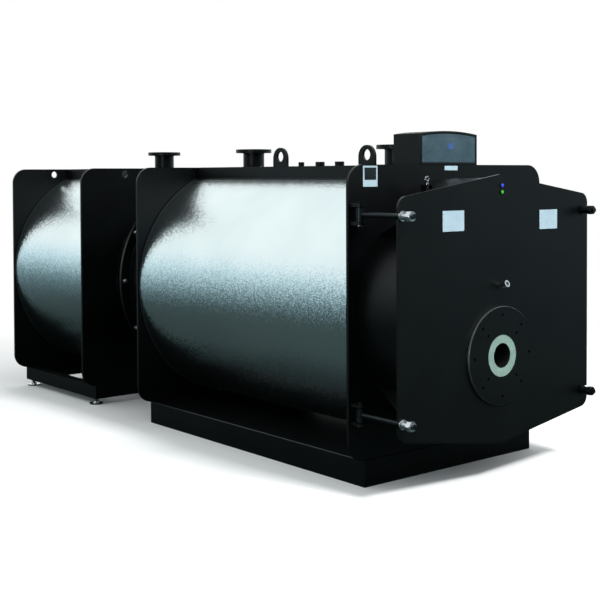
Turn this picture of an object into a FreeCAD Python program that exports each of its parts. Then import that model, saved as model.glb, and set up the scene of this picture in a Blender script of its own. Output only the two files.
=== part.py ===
import FreeCAD, Part
import math
import os

# Fire-tube boiler on a skid, with a condensing heat exchanger of the same section behind it.
# Millimetres. X is across, -Y is the burner side, +Z is up.
# The pieces are drawn with Y = 0 on the front face of the boiler's front plate and Z = 0 on
# the floor, and are moved along Y at the end so that the origin is under the middle.

V = FreeCAD.Vector
X_AXIS = V(1, 0, 0)
Y_AXIS = V(0, 1, 0)
Z_AXIS = V(0, 0, 1)
SIDES = {"left": -1, "right": 1}
LEVELS = {"upper": 1, "lower": -1}

# ---- driving dimensions -------------------------------------------------------------------

# jacket and end plates, shared by the boiler and the condenser
jacket_radius = 900.0
plate_side_margin = 12.0      # from the jacket to the plate's side edges
plate_end_margin = 17.0       # from the jacket to the plate's top and bottom edges
plate_thickness = 20.0
plate_corner_radius = 125.0
boiler_length = 2460.0        # over both end plates
condenser_length = 1295.0     # over both end plates

# skid
skid_height = 166.0           # floor to the underside of the plates
skid_inset = 122.0            # from the plate's side to the skid's
skid_overhang = 10.0          # in front of the front plate
deck_thickness = 8.0
channel_flange = 90.0
channel_web = 10.0
channel_flange_thickness = 14.0

# furnace and smoke tubes, seen with the door open
furnace_radius = 390.0
furnace_depth = 1900.0
furnace_drop = 292.0          # furnace and burner axis below the boiler's axis
tube_hole_radius = 32.0
tube_hole_depth = 80.0
tube_count = 12
tube_circle_inset = 200.0     # from the jacket
tube_first_angle = -10.0
tube_last_angle = 190.0

# top cover and its fittings
cover_width = 730.0
fitting_gap = 2.0             # round what passes through the cover
skin_gap = 0.3                # between curved faces that lie on each other
flange_radius = 142.5
flange_thickness = 28.0
flange_rise = 143.0           # above the top cover
flange_bolt_circle_radius = 120.0
flange_bolt_count = 8
flange_bolt_hole_radius = 11.0
pipe_radius = 84.15
pipe_bore_radius = 79.65
pipe_depth = 60.0             # open below the crown
well_step = 8.0               # each well is this much deeper than the last one
supply_from_rear = 310.0
return_y = 510.0
condenser_flange_from_plate = 145.0
lug_width = 170.0
lug_rise = 150.0
lug_thickness = 20.0
lug_hole_radius = 40.0
lug_hole_above_cover = 80.0
lug_front_y = 810.0
lug_rear_from_rear = 660.0
socket_rise = 35.0
socket_wall = 7.0
socket_radii = (35.0, 35.0, 22.5)
socket_gap_after_lug = 1.36   # in socket pitches
socket_gap_before_lug = 1.14  # in socket pitches

# control box
control_width = 535.0
control_x = -20.0             # middle of the box
control_depth = 246.0
control_height = 202.0
control_crown = 20.0          # rise of the arched top
window_thickness = 8.0
window_margin = 14.0

# door
door_reach = 420.0            # front plate to the door's front face
door_plate_thickness = 18.0
door_side_inset = 15.0        # from the front plate's side edge
door_shoulder_drop = 200.0    # from the front plate's top edge
door_apex_drop = 64.0         # from the front plate's top edge
door_corner_radius = 70.0
drum_inset = 70.0             # from the jacket
drum_wall = 10.0
seat_gap = 1.0                # closed door to the front plate
lining_recess = 120.0
lining_rim = 70.0
lining_gap = 0.3
gusset_thickness = 15.0
gusset_clear_of_slot = 9.0
gusset_clear_of_seat = 30.0

# burner opening
burner_flange_radius = 310.0
burner_flange_thickness = 20.0
burner_bore_radius = 79.0
refractory_radius = 134.0
refractory_thickness = 16.0
outer_bolt_circle_radius = 258.0
outer_bolt_count = 8
inner_bolt_circle_radius = 190.0
inner_bolt_count = 4
burner_bolt_hole_radius = 9.0
sight_tube_rise = 145.0       # above the boiler's axis
sight_tube_radius = 17.0
sight_tube_length = 62.0
sight_tube_tilt = 20.0
sight_ring_radius = 22.0
sight_ring_length = 14.0

# tie rods and their pins
pin_insets = {"left": 47.0, "right": 77.0}
pin_stand_off = 57.0          # pin axis in front of the front plate
pin_radius = 15.0
pin_gap = 0.5
rod_drop = 306.0              # from the front plate's top edge
rod_radius = 16.0
rod_beyond_nut = 14.0
thread_gap = 0.2
barrel_radius = 28.0
barrel_height = 84.0
barrel_end_gap = 5.0
hinge_lug_thickness = 18.0
hinge_lug_radius = 34.0
pin_beyond_lug = 8.0
pin_head_radius = 20.0
pin_head_height = 6.0
slot_gap = 5.0                # each side of a rod in the door's slot
washer_radius = 31.0
washer_thickness = 6.0
sleeve_radius = 23.0
sleeve_length = 46.0
nut_radius = 33.0             # over the corners
nut_length = 32.0
nut_sides = 6
bolt_nut_gap = 8.0            # the swing bolts' loosened nuts to the door

# lifting eye on the door's drum
eye_x = -380.0
eye_from_seat = 150.0
eye_block_width = 66.0
eye_block_depth = 44.0
eye_block_rise = 24.0
ear_thickness = 12.0
ear_rise = 26.0
eye_bolt_radius = 8.0
eye_bolt_rise = 50.0
eye_ring_radius = 14.0
eye_ring_wire = 5.0

# smoke box between boiler and condenser
smoke_drum_inset = 170.0      # from the jacket
smoke_drum_length = 400.0
smoke_flange_width = 83.0     # outside the drum
smoke_flange_thickness = 24.0
inlet_drum_inset = 320.0      # from the jacket
inlet_drum_length = 441.0

# condenser base, feet and outlet
base_beam_height = 113.0
base_beam_width = 80.0
foot_pad_radius = 55.0
foot_pad_thickness = 12.0
foot_stud_radius = 14.0
foot_inset = 70.0
lifting_hole_radius = 30.0
lifting_hole_from_side = 417.0
lifting_hole_below_top = 50.0
outlet_rise = 400.0           # flue outlet above the condenser's axis
outlet_radius = 175.0
outlet_wall = 4.0
outlet_length = 150.0
outlet_collar_radius = 200.0
outlet_collar_thickness = 10.0

# ---- worked-out places --------------------------------------------------------------------

plate_half_width = jacket_radius + plate_side_margin
plate_half_height = jacket_radius + plate_end_margin
axis_z = skid_height + plate_half_height
plate_top = axis_z + plate_half_height
skid_half_width = plate_half_width - skid_inset
flange_top = plate_top + flange_rise
supply_y = boiler_length - supply_from_rear
lug_rear_y = boiler_length - lug_rear_from_rear
furnace_z = axis_z - furnace_drop
tube_circle_radius = jacket_radius - tube_circle_inset
drum_radius = jacket_radius - drum_inset
pin_xs = {hand: SIDES[hand] * (plate_half_width - pin_insets[hand]) for hand in SIDES}
rod_height = plate_half_height - rod_drop    # above and below the boiler's axis
smoke_drum_radius = jacket_radius - smoke_drum_inset
drum_front_y = -door_reach + door_plate_thickness
pin_y = -pin_stand_off
smoke_flange_y = boiler_length + smoke_drum_length
inlet_y = smoke_flange_y + smoke_flange_thickness
condenser_y = inlet_y + inlet_drum_length
condenser_end_y = condenser_y + condenser_length
clamp_length = washer_thickness + sleeve_length + nut_length
rod_tip_y = -door_reach - bolt_nut_gap - clamp_length - rod_beyond_nut
outlet_end_y = condenser_end_y + outlet_length
centre_y = (rod_tip_y + outlet_end_y) / 2


# ---- shape helpers ------------------------------------------------------------------------

def block(x0, x1, y0, y1, z0, z1):
    return Part.makeBox(x1 - x0, y1 - y0, z1 - z0, V(x0, y0, z0))


def rod(radius, length, start, direction):
    return Part.makeCylinder(radius, length, start, direction)


def tube(outer, inner, length, start, direction):
    return rod(outer, length, start, direction).cut(rod(inner, length, start, direction))


def slab_from_outline(points, y0, thickness):
    """A plate across the boiler, from (x, z) corners, between y0 and y0 + thickness."""
    corners = [V(x, y0, z) for x, z in points]
    face = Part.Face(Part.makePolygon(corners + corners[:1]))
    return face.extrude(V(0, thickness, 0))


def edges_along(shape, direction):
    """The straight edges of a shape that run along one axis."""
    found = []
    for edge in shape.Edges:
        if edge.Curve.TypeId != "Part::GeomLine":
            continue
        if abs(edge.tangentAt(edge.FirstParameter).dot(direction)) > 0.999:
            found.append(edge)
    return found


def circle_points(count, radius, centre_z, first_angle, step):
    """(x, z) places round a centre on X = 0."""
    places = []
    for i in range(count):
        angle = math.radians(first_angle + i * step)
        places.append((radius * math.cos(angle), centre_z + radius * math.sin(angle)))
    return places


def cut_holes_along_y(shape, places, radius, y0, length):
    holes = [rod(radius, length, V(x, y0, z), Y_AXIS) for x, z in places]
    return shape.cut(Part.makeCompound(holes))


# ---- end plates and jackets ---------------------------------------------------------------

def end_plate(y0):
    plate = block(-plate_half_width, plate_half_width, y0, y0 + plate_thickness,
                  skid_height, plate_top)
    return plate.makeFillet(plate_corner_radius, edges_along(plate, Y_AXIS))


def tube_places():
    step = (tube_last_angle - tube_first_angle) / (tube_count - 1)
    return circle_points(tube_count, tube_circle_radius, axis_z, tube_first_angle, step)


def front_plate():
    mouth = rod(furnace_radius, plate_thickness, V(0, 0, furnace_z), Y_AXIS)
    plate = end_plate(0).cut(mouth)
    return cut_holes_along_y(plate, tube_places(), tube_hole_radius, 0, plate_thickness)


def jacket(y0, length):
    start = V(0, y0 + plate_thickness, axis_z)
    return rod(jacket_radius, length - 2 * plate_thickness, start, Y_AXIS)


def crown_hole(radius, y, depth=pipe_depth):
    """The opening below a pipe or socket, from above the crown down to its blind end."""
    bottom = axis_z + jacket_radius - depth
    return rod(radius, plate_top - bottom, V(0, y, bottom), Z_AXIS)


def boiler_jacket():
    furnace = rod(furnace_radius, furnace_depth, V(0, plate_thickness, furnace_z), Y_AXIS)
    wells = [(y, pipe_bore_radius) for y in (supply_y, return_y)]
    wells += [(y, radius - socket_wall) for y, radius in socket_places()]
    holes = [crown_hole(radius, y, pipe_depth + i * well_step)
             for i, (y, radius) in enumerate(wells)]
    body = jacket(0, boiler_length).cut(Part.makeCompound([furnace] + holes))
    return cut_holes_along_y(body, tube_places(), tube_hole_radius, plate_thickness, tube_hole_depth)


def condenser_jacket():
    hole = crown_hole(pipe_bore_radius, condenser_y + condenser_flange_from_plate)
    return jacket(condenser_y, condenser_length).cut(hole)


def condenser_plate(y0):
    hole_z = plate_top - lifting_hole_below_top
    hole_x = plate_half_width - lifting_hole_from_side
    places = [(side * hole_x, hole_z) for side in SIDES.values()]
    return cut_holes_along_y(end_plate(y0), places, lifting_hole_radius, y0, plate_thickness)


def top_cover(y0, length, pass_through):
    """Flat cover over the jacket's crown, with a gap round each fitting that rises through it."""
    inner_start = y0 + plate_thickness
    inner_end = y0 + length - plate_thickness
    half = cover_width / 2
    cover = block(-half, half, inner_start, inner_end, axis_z, plate_top)
    crown = rod(jacket_radius + skin_gap, length, V(0, y0, axis_z), Y_AXIS)
    return cover.cut(crown).cut(Part.makeCompound(pass_through))


# ---- fittings on the crown ----------------------------------------------------------------

def above_jacket(shape):
    """Keep what lies above the jacket's surface, so that the piece seats on it."""
    length = outlet_end_y - rod_tip_y
    return shape.cut(rod(jacket_radius, length, V(0, rod_tip_y, axis_z), Y_AXIS))


def riser(radius, y, top):
    return rod(radius, top - axis_z, V(0, y, axis_z), Z_AXIS)


def pipe_flange(y):
    """Welding-neck flange with its pipe, standing on the crown."""
    disc = rod(flange_radius, flange_thickness, V(0, y, flange_top - flange_thickness), Z_AXIS)
    body = riser(pipe_radius, y, flange_top).fuse(disc)
    holes = [riser(pipe_bore_radius, y, flange_top)]
    for i in range(flange_bolt_count):
        angle = math.radians((i + 0.5) * 360 / flange_bolt_count)
        x = flange_bolt_circle_radius * math.cos(angle)
        dy = flange_bolt_circle_radius * math.sin(angle)
        start = V(x, y + dy, flange_top - flange_thickness)
        holes.append(rod(flange_bolt_hole_radius, flange_thickness, start, Z_AXIS))
    return above_jacket(body.cut(Part.makeCompound(holes)).removeSplitter())


def lifting_lug(y):
    """Round-topped eye plate along the boiler's length, with its foot on the crown."""
    half = lug_width / 2
    x0 = -lug_thickness / 2
    shoulder_z = plate_top + lug_rise - half
    plate = block(x0, -x0, y - half, y + half, axis_z, shoulder_z)
    plate = plate.fuse(rod(half, lug_thickness, V(x0, y, shoulder_z), X_AXIS)).removeSplitter()
    hole = rod(lug_hole_radius, lug_thickness, V(x0, y, plate_top + lug_hole_above_cover), X_AXIS)
    return above_jacket(plate.cut(hole))


def lug_clearance(y):
    half = lug_width / 2 + fitting_gap
    x1 = lug_thickness / 2 + fitting_gap
    return block(-x1, x1, y - half, y + half, axis_z, plate_top)


def socket_places():
    """(y, radius) of each socket, evenly spaced between the lifting lugs."""
    pitches = socket_gap_after_lug + len(socket_radii) - 1 + socket_gap_before_lug
    pitch = (lug_rear_y - lug_front_y) / pitches
    first = lug_front_y + socket_gap_after_lug * pitch
    return [(first + i * pitch, radius) for i, radius in enumerate(socket_radii)]


def socket(y, radius):
    body = riser(radius, y, plate_top + socket_rise)
    return above_jacket(body.cut(riser(radius - socket_wall, y, plate_top + socket_rise)))


def boiler_cover():
    gaps = [riser(pipe_radius + fitting_gap, y, plate_top) for y in (supply_y, return_y)]
    gaps += [riser(radius + fitting_gap, y, plate_top) for y, radius in socket_places()]
    gaps += [lug_clearance(y) for y in (lug_front_y, lug_rear_y)]
    return top_cover(0, boiler_length, gaps)


def condenser_cover():
    gap = riser(pipe_radius + fitting_gap, condenser_y + condenser_flange_from_plate, plate_top)
    return top_cover(condenser_y, condenser_length, [gap])


# ---- control box --------------------------------------------------------------------------

def arched_block(width, y0, y1, z0, height, crown):
    """A box round control_x whose top is one shallow arch across its width."""
    x0 = control_x - width / 2
    x1 = control_x + width / 2
    left = V(x0, y0, z0 + height)
    right = V(x1, y0, z0 + height)
    arch = Part.Arc(left, V(control_x, y0, z0 + height + crown), right).toShape()
    sides = Part.makePolygon([right, V(x1, y0, z0), V(x0, y0, z0), left])
    outline = Part.Wire([arch] + sides.Edges)
    return Part.Face(outline).extrude(V(0, y1 - y0, 0))


def control_box():
    return arched_block(control_width, window_thickness, control_depth, plate_top,
                        control_height, control_crown)


def control_window():
    return arched_block(control_width - 2 * window_margin, 0, window_thickness,
                        plate_top + window_margin, control_height - 2 * window_margin,
                        control_crown)


# ---- skid, base and feet ------------------------------------------------------------------

def skid_rail(side):
    """Channel with its web outward and closed ends, from the skid's front to the rear plate."""
    outer = side * skid_half_width
    inner = outer - side * channel_flange
    web_inside = outer - side * channel_web
    top = skid_height - deck_thickness
    body = block(min(outer, inner), max(outer, inner), -skid_overhang, boiler_length, 0, top)
    pocket = block(min(web_inside, inner), max(web_inside, inner),
                   channel_web - skid_overhang, boiler_length - channel_web,
                   channel_flange_thickness, top - channel_flange_thickness)
    return body.cut(pocket)


def skid_cross(y_outer, inward):
    """Channel between the rails, with its web toward the end of the skid."""
    half = skid_half_width - channel_flange
    top = skid_height - deck_thickness
    y_inner = y_outer + inward * channel_flange
    y_web = y_outer + inward * channel_web
    body = block(-half, half, min(y_outer, y_inner), max(y_outer, y_inner), 0, top)
    pocket = block(-half, half, min(y_web, y_inner), max(y_web, y_inner),
                   channel_flange_thickness, top - channel_flange_thickness)
    return body.cut(pocket)


def skid_deck():
    return block(-skid_half_width, skid_half_width, -skid_overhang, boiler_length,
                 skid_height - deck_thickness, skid_height)


def condenser_base():
    half = skid_half_width
    bottom = skid_height - base_beam_height
    frame = block(-half, half, condenser_y, condenser_end_y, bottom, skid_height)
    inside = block(-half + base_beam_width, half - base_beam_width,
                   condenser_y + base_beam_width, condenser_end_y - base_beam_width,
                   bottom, skid_height)
    return frame.cut(inside)


def levelling_foot(side, y):
    x = side * (skid_half_width - base_beam_width / 2)
    pad = rod(foot_pad_radius, foot_pad_thickness, V(x, y, 0), Z_AXIS)
    stud = rod(foot_stud_radius, skid_height - base_beam_height, V(x, y, 0), Z_AXIS)
    return pad.fuse(stud).removeSplitter()


def levelling_feet():
    feet = []
    for y in (condenser_y + foot_inset, condenser_end_y - foot_inset):
        feet += [levelling_foot(side, y) for side in SIDES.values()]
    return Part.makeCompound(feet)


# ---- smoke box and flue outlet ------------------------------------------------------------

def smoke_flange():
    return rod(smoke_drum_radius + smoke_flange_width, smoke_flange_thickness,
               V(0, smoke_flange_y, axis_z), Y_AXIS)


def flue_outlet():
    start = V(0, condenser_end_y, axis_z + outlet_rise)
    collar = rod(outlet_collar_radius, outlet_collar_thickness, start, Y_AXIS)
    spigot = rod(outlet_radius, outlet_length, start, Y_AXIS)
    bore = rod(outlet_radius - outlet_wall, outlet_length, start, Y_AXIS)
    return collar.fuse(spigot).cut(bore).removeSplitter()


# ---- door ---------------------------------------------------------------------------------

def door_plate():
    half = plate_half_width - door_side_inset
    side_half = plate_half_height - door_shoulder_drop
    apex = plate_half_height - door_apex_drop
    outline = [(-half, axis_z - side_half), (0, axis_z - apex), (half, axis_z - side_half),
               (half, axis_z + side_half), (0, axis_z + apex), (-half, axis_z + side_half)]
    plate = slab_from_outline(outline, -door_reach, door_plate_thickness)
    corners = [e for e in edges_along(plate, Y_AXIS) if abs(e.CenterOfMass.x) > half / 2]
    plate = plate.makeFillet(door_corner_radius, corners)
    slot_radius = rod_radius + slot_gap
    for hand, side in SIDES.items():
        x = pin_xs[hand]
        for level in LEVELS.values():
            z = axis_z + level * rod_height
            inner = rod(slot_radius, door_plate_thickness, V(x, -door_reach, z), Y_AXIS)
            x_ends = sorted((x, side * (half + slot_radius)))
            mouth = block(x_ends[0], x_ends[1], -door_reach, drum_front_y,
                          z - slot_radius, z + slot_radius)
            plate = plate.cut(inner).cut(mouth)
    throat = rod(burner_bore_radius, door_plate_thickness, V(0, -door_reach, furnace_z), Y_AXIS)
    return plate.cut(throat)


def door_drum():
    """Steel rim of the deep door; its rear edge meets the front plate when the door is shut."""
    return tube(drum_radius, drum_radius - drum_wall, -seat_gap - drum_front_y,
                V(0, drum_front_y, axis_z), Y_AXIS)


def door_lining():
    """Insulation inside the rim, hollowed at the back as the turning chamber."""
    radius = drum_radius - drum_wall - lining_gap
    depth = -seat_gap - drum_front_y
    body = rod(radius, depth, V(0, drum_front_y, axis_z), Y_AXIS)
    hollow = rod(radius - lining_rim, lining_recess, V(0, -seat_gap - lining_recess, axis_z), Y_AXIS)
    throat = rod(burner_bore_radius, depth, V(0, drum_front_y, furnace_z), Y_AXIS)
    return body.cut(hollow).cut(throat)


def door_gusset(hand, level):
    """Triangular rib from the drum to the door's corner, in line with the tie rod."""
    foot = drum_radius - drum_wall / 2
    tip = math.hypot(pin_xs[hand], rod_height) - rod_radius - slot_gap - gusset_clear_of_slot
    rear_y = -gusset_clear_of_seat
    points = [V(foot, drum_front_y, 0), V(tip, drum_front_y, 0), V(drum_radius, rear_y, 0),
              V(foot, rear_y, 0)]
    rib = Part.Face(Part.makePolygon(points + points[:1])).extrude(V(0, 0, gusset_thickness))
    rib.translate(V(0, 0, -gusset_thickness / 2))
    rib = rib.cut(rod(drum_radius + skin_gap, door_reach, V(0, -door_reach, 0), Y_AXIS))
    angle = math.degrees(math.atan2(level * rod_height, pin_xs[hand]))
    rib.rotate(V(0, 0, 0), Y_AXIS, -angle)
    rib.translate(V(0, 0, axis_z))
    return rib


def burner_flange():
    y0 = -door_reach - burner_flange_thickness
    ring = tube(burner_flange_radius, refractory_radius + skin_gap, burner_flange_thickness,
                V(0, y0, furnace_z), Y_AXIS)
    outer = circle_points(outer_bolt_count, outer_bolt_circle_radius, furnace_z, 0,
                          360 / outer_bolt_count)
    inner = circle_points(inner_bolt_count, inner_bolt_circle_radius, furnace_z, 45,
                          360 / inner_bolt_count)
    return cut_holes_along_y(ring, outer + inner, burner_bolt_hole_radius, y0,
                             burner_flange_thickness)


def refractory_ring():
    start = V(0, -door_reach - refractory_thickness, furnace_z)
    return tube(refractory_radius, burner_bore_radius, refractory_thickness, start, Y_AXIS)


def sight_tube():
    """Sight-glass tube that looks down into the furnace, with a thicker ring at its tip."""
    tilt = math.radians(sight_tube_tilt)
    direction = V(0, -math.cos(tilt), math.sin(tilt))
    base = V(0, -door_reach, axis_z + sight_tube_rise)
    start = base - direction * sight_tube_radius
    tip = base + direction * (sight_tube_length - sight_ring_length)
    body = rod(sight_tube_radius, sight_tube_length + sight_tube_radius, start, direction)
    body = body.fuse(rod(sight_ring_radius, sight_ring_length, tip, direction))
    behind_face = block(-sight_ring_radius, sight_ring_radius, -door_reach, 0,
                        axis_z, plate_top)
    return body.cut(behind_face).removeSplitter()


def door_eye():
    """Small lifting eye on the drum, close to the seat: a block with two ears and a ring bolt."""
    y = -eye_from_seat
    seat_z = axis_z + math.sqrt(drum_radius ** 2 - eye_x ** 2)
    half_x = eye_block_width / 2
    half_y = eye_block_depth / 2
    block_top = seat_z + eye_block_rise
    body = block(eye_x - half_x, eye_x + half_x, y - half_y, y + half_y, axis_z, block_top)
    for side in SIDES.values():
        x_ends = sorted((eye_x + side * half_x, eye_x + side * (half_x - ear_thickness)))
        body = body.fuse(block(x_ends[0], x_ends[1], y - half_y, y + half_y, axis_z,
                               block_top + ear_rise))
    body = body.fuse(rod(eye_bolt_radius, eye_bolt_rise, V(eye_x, y, block_top), Z_AXIS))
    ring_z = block_top + eye_bolt_rise + eye_ring_radius
    body = body.fuse(Part.makeTorus(eye_ring_radius, eye_ring_wire, V(eye_x, y, ring_z), Y_AXIS))
    drum = rod(drum_radius + skin_gap, door_reach, V(0, -door_reach, axis_z), Y_AXIS)
    return body.cut(drum).removeSplitter()


# ---- hinge lugs and tie rods --------------------------------------------------------------

def hinge_lugs(x, level):
    """Two lugs on the front plate with the pin that a tie rod turns on."""
    z = axis_z + level * rod_height
    inner = barrel_height / 2 + barrel_end_gap
    pin_bottom = z - inner - hinge_lug_thickness - pin_beyond_lug
    pin_top = z + inner + hinge_lug_thickness + pin_beyond_lug
    body = rod(pin_radius, pin_top - pin_bottom, V(x, pin_y, pin_bottom), Z_AXIS)
    body = body.fuse(rod(pin_head_radius, pin_head_height, V(x, pin_y, pin_top), Z_AXIS))
    for z0 in (z + inner, z - inner - hinge_lug_thickness):
        nose = rod(hinge_lug_radius, hinge_lug_thickness, V(x, pin_y, z0), Z_AXIS)
        tail = block(x - hinge_lug_radius, x + hinge_lug_radius, pin_y, 0,
                     z0, z0 + hinge_lug_thickness)
        body = body.fuse(nose).fuse(tail)
    return body.removeSplitter()


def hex_nut(x, y_front, z):
    """Hexagon nut whose corners are turned down to a cone at its front."""
    corners = circle_points(nut_sides, nut_radius, z, 0, 360 / nut_sides)
    prism = slab_from_outline([(x + dx, dz) for dx, dz in corners], y_front, nut_length)
    cone = Part.makeCone(nut_radius * math.cos(math.pi / nut_sides), nut_radius + nut_length,
                         nut_length + nut_radius, V(x, y_front, z), Y_AXIS)
    return prism.common(cone)


def tie_rod(x, level, nut_gap):
    """Rod with a barrel that turns on the pin."""
    z = axis_z + level * rod_height
    tip_y = -door_reach - nut_gap - clamp_length - rod_beyond_nut
    barrel = rod(barrel_radius, barrel_height, V(x, pin_y, z - barrel_height / 2), Z_AXIS)
    body = barrel.fuse(rod(rod_radius, pin_y - tip_y, V(x, tip_y, z), Y_AXIS)).removeSplitter()
    bore = rod(pin_radius + pin_gap, barrel_height, V(x, pin_y, z - barrel_height / 2), Z_AXIS)
    return body.cut(bore)


def tie_nut(x, level, nut_gap):
    """Washer, sleeve and hexagon nut on a tie rod, in front of the door."""
    z = axis_z + level * rod_height
    washer_y = -door_reach - nut_gap - washer_thickness
    sleeve_y = washer_y - sleeve_length
    nut_y = sleeve_y - nut_length
    body = rod(washer_radius, washer_thickness, V(x, washer_y, z), Y_AXIS)
    body = body.fuse(rod(sleeve_radius, sleeve_length, V(x, sleeve_y, z), Y_AXIS))
    body = body.fuse(hex_nut(x, nut_y, z)).removeSplitter()
    return body.cut(rod(rod_radius + thread_gap, clamp_length, V(x, nut_y, z), Y_AXIS))


# ---- the list of pieces -------------------------------------------------------------------

def all_pieces():
    pieces = {
        "skid_rails": Part.makeCompound([skid_rail(side) for side in SIDES.values()]),
        "skid_cross_members": Part.makeCompound([skid_cross(-skid_overhang, 1),
                                                 skid_cross(boiler_length, -1)]),
        "skid_deck": skid_deck(),
        "front_plate": front_plate(),
        "rear_plate": end_plate(boiler_length - plate_thickness),
        "boiler_jacket": boiler_jacket(),
        "boiler_top_cover": boiler_cover(),
        "supply_flange": pipe_flange(supply_y),
        "return_flange": pipe_flange(return_y),
        "top_sockets": Part.makeCompound([socket(y, radius) for y, radius in socket_places()]),
        "lifting_lugs": Part.makeCompound([lifting_lug(y) for y in (lug_front_y, lug_rear_y)]),
        "control_box": control_box(),
        "control_window": control_window(),
        "smoke_box_drum": rod(smoke_drum_radius, smoke_drum_length,
                              V(0, boiler_length, axis_z), Y_AXIS),
        "smoke_box_flange": smoke_flange(),
        "condenser_inlet_drum": rod(jacket_radius - inlet_drum_inset, inlet_drum_length,
                                    V(0, inlet_y, axis_z), Y_AXIS),
        "condenser_front_plate": condenser_plate(condenser_y),
        "condenser_rear_plate": condenser_plate(condenser_end_y - plate_thickness),
        "condenser_jacket": condenser_jacket(),
        "condenser_top_cover": condenser_cover(),
        "condenser_flange": pipe_flange(condenser_y + condenser_flange_from_plate),
        "condenser_base": condenser_base(),
        "levelling_feet": levelling_feet(),
        "flue_outlet": flue_outlet(),
        "door_plate": door_plate(),
        "door_drum": door_drum(),
        "door_lining": door_lining(),
        "burner_flange": burner_flange(),
        "refractory_ring": refractory_ring(),
        "sight_tube": sight_tube(),
        "door_lifting_eye": door_eye(),
    }
    gussets = []
    for height, level in LEVELS.items():
        for hand, x in pin_xs.items():
            place = "%s_%s" % (height, hand)
            pieces["hinge_lugs_" + place] = hinge_lugs(x, level)
            nut_gap = bolt_nut_gap if hand == "right" else 0
            pieces["tie_rod_" + place] = tie_rod(x, level, nut_gap)
            pieces["tie_nut_" + place] = tie_nut(x, level, nut_gap)
            gussets.append(door_gusset(hand, level))
    pieces["door_gussets"] = Part.makeCompound(gussets)
    return pieces


os.makedirs("parts", exist_ok=True)
for name, shape in all_pieces().items():
    shape.translate(V(0, -centre_y, 0))
    shape.exportStep("parts/%s.step" % name)
    print("%-28s solids %d  valid %s  volume %.4f m3"
          % (name, len(shape.Solids), shape.isValid(), shape.Volume / 1e9))
print("centre_y %.3f" % centre_y)
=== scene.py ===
import math

import bmesh
import bpy
from mathutils import Matrix, Vector


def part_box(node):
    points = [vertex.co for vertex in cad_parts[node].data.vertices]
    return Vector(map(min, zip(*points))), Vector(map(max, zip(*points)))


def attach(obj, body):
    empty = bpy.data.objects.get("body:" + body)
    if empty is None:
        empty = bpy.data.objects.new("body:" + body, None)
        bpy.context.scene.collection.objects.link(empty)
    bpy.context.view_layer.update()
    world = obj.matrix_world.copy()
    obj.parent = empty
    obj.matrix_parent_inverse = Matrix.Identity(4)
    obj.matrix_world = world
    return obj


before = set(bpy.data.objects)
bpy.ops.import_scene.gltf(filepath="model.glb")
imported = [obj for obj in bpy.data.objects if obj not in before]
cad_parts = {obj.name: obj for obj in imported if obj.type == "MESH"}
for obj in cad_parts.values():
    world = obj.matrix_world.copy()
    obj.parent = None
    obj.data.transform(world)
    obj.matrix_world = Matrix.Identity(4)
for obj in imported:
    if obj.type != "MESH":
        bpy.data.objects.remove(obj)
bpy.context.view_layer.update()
bpy.ops.object.select_all(action="DESELECT")


# ---- Skid, base frame and end plates ---------------------------------------------------------
# Rolled channel, beams and 20 mm boiler plate, all sprayed with the same black enamel: near
# black with a cold cast and a soft gloss, with a faint orange peel from the spray gun.

def srgb(hex_colour):
    """The linear colour of an sRGB hex value such as '1c2224'."""
    channels = [int(hex_colour[i:i + 2], 16) / 255 for i in (0, 2, 4)]
    curve = [c / 12.92 if c <= 0.04045 else ((c + 0.055) / 1.055) ** 2.4 for c in channels]
    return (curve[0], curve[1], curve[2], 1.0)


def new_material(name):
    """An empty node material, its node tree and its output node."""
    material = bpy.data.materials.new(name)
    material.use_nodes = True
    material.node_tree.nodes.clear()
    output = material.node_tree.nodes.new("ShaderNodeOutputMaterial")
    return material, material.node_tree, output


def add(tree, kind, inputs=None, **settings):
    """Adds one node, with its settings, its input values and its links from other sockets."""
    node = tree.nodes.new("ShaderNode" + kind)
    for key, value in settings.items():
        setattr(node, key, value)
    for key, value in (inputs or {}).items():
        if isinstance(value, bpy.types.NodeSocket):
            tree.links.new(value, node.inputs[key])
        else:
            node.inputs[key].default_value = value
    return node


def two_tones(tree, amount, low, high, first, second):
    """A colour that goes from one hex tone to another as amount goes from low to high."""
    ramp = add(tree, "ValToRGB", {"Fac": amount})
    ramp.color_ramp.elements[0].position = low
    ramp.color_ramp.elements[0].color = srgb(first)
    ramp.color_ramp.elements[1].position = high
    ramp.color_ramp.elements[1].color = srgb(second)
    return ramp.outputs["Color"]


def surface(name, first, second, cloud_mm, roughness, grain_mm, grain_depth, **fixed):
    """A finish with two close tones in soft clouds, uneven gloss and one fine grain as bump."""
    material, tree, output = new_material(name)
    place = add(tree, "TexCoord").outputs["Object"]
    clouds = add(tree, "TexNoise", {"Vector": place, "Scale": 1000 / cloud_mm, "Detail": 5.0,
                                    "Roughness": 0.6})
    tone = two_tones(tree, clouds.outputs["Fac"], 0.35, 0.75, first, second)
    gloss = add(tree, "MapRange", {"Value": clouds.outputs["Fac"], "To Min": roughness - 0.05,
                                   "To Max": roughness + 0.07})
    grain = add(tree, "TexNoise", {"Vector": place, "Scale": 1000 / grain_mm, "Detail": 2.0})
    bump = add(tree, "Bump", {"Height": grain.outputs["Fac"], "Strength": 0.35,
                              "Distance": grain_depth})
    inputs = {"Base Color": tone, "Roughness": gloss.outputs["Result"],
              "Normal": bump.outputs["Normal"]}
    inputs.update({key.replace("_", " "): value for key, value in fixed.items()})
    shader = add(tree, "BsdfPrincipled", inputs)
    tree.links.new(shader.outputs["BSDF"], output.inputs["Surface"])
    return material


def dress(material, *nodes):
    """Gives CAD nodes a material, in every slot they have."""
    for name in nodes:
        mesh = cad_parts[name].data
        if not mesh.materials:
            mesh.materials.append(material)
        for index in range(len(mesh.materials)):
            mesh.materials[index] = material


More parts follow.
